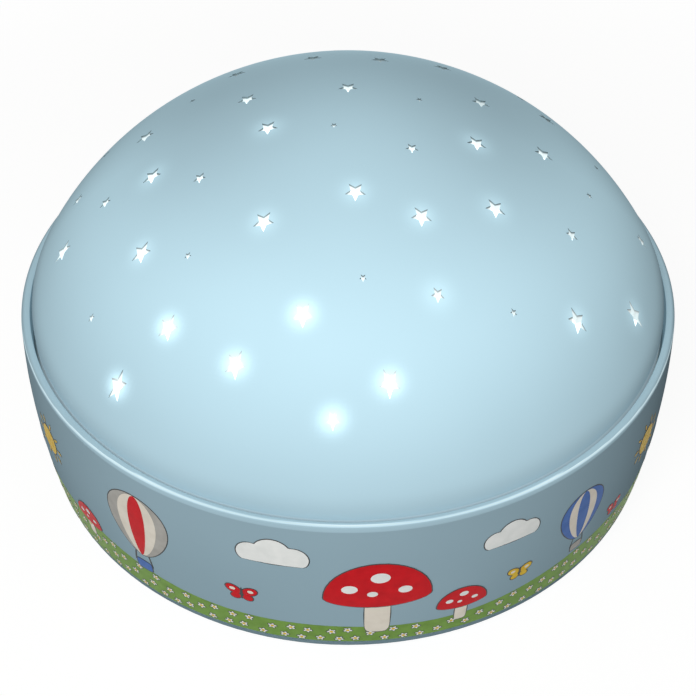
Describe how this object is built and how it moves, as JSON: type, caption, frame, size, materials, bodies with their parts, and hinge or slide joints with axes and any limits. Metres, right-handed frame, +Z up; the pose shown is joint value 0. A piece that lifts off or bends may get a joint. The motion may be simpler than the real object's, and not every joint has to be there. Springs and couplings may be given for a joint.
{
  "type": "star night light",
  "caption": "Battery night light: a dome pierced with star-shaped holes over an opal liner, snapped into a drum-shaped base with a push button and a battery door.",
  "frame": {"origin": "on the table, below the drum's axis, at the underside of the rubber feet", "axes": "+Z up along the drum's axis, front towards -Y, push button towards +Y"},
  "size_m": [0.1514, 0.1514, 0.0897],
  "materials": {
    "blue_plastic": "moulded, satin gloss",
    "white_plastic": "moulded, satin",
    "opal_plastic": "opal, matt",
    "foot_rubber": "moulded, matt",
    "zinc_steel": "zinc plated",
    "spring_steel": "nickel plated",
    "cell_jacket": "printed sleeve",
    "circuit_board": "solder mask",
    "lens_glass": "clear resin",
    "black_plastic": "moulded, matt",
    "capacitor_can": "bare can",
    "red_wire": "PVC insulation",
    "black_wire": "PVC insulation"
  },
  "bodies": {
    "base": {"dome_shell": "blue_plastic", "base_shell": "blue_plastic", "bottom_pan": "blue_plastic", "star_liner": "opal_plastic", "reflector_deck": "white_plastic", "rubber_feet": "foot_rubber", "case_screws": "zinc_steel", "board_screws": "zinc_steel", "led_board_screws": "zinc_steel", "bridge_contacts": "spring_steel", "positive_terminal": "spring_steel", "negative_terminal": "spring_steel", "battery_cell_1": "cell_jacket", "battery_cell_2": "cell_jacket", "battery_cell_3": "cell_jacket", "led_board": "circuit_board", "control_board": "circuit_board", "led_base": "white_plastic", "led_lens": "lens_glass", "push_switch": "black_plastic", "timer_chip": "black_plastic", "filter_capacitor": "capacitor_can", "chip_resistors": "black_plastic", "battery_lead_red": "red_wire", "battery_lead_black": "black_wire", "led_lead_red": "red_wire", "led_lead_black": "black_wire"},
    "button": {"power_button": "white_plastic", "switch_plunger": "black_plastic"},
    "door": {"battery_door": "blue_plastic", "door_screw": "zinc_steel"}
  },
  "joints": [
    {"name": "button_press", "type": "slide", "parent": "base", "child": "button", "axis": [0, -1, 0], "range_m": [0, 0.0016], "stiffness_N_per_m": 1200, "springref_m": -0.0003},
    {"name": "door_hinge", "type": "hinge", "parent": "base", "child": "door", "pos_m": [0, -0.0225, 0.0038], "axis": [-1, 0, 0], "range_deg": [0, 45]}
  ]
}
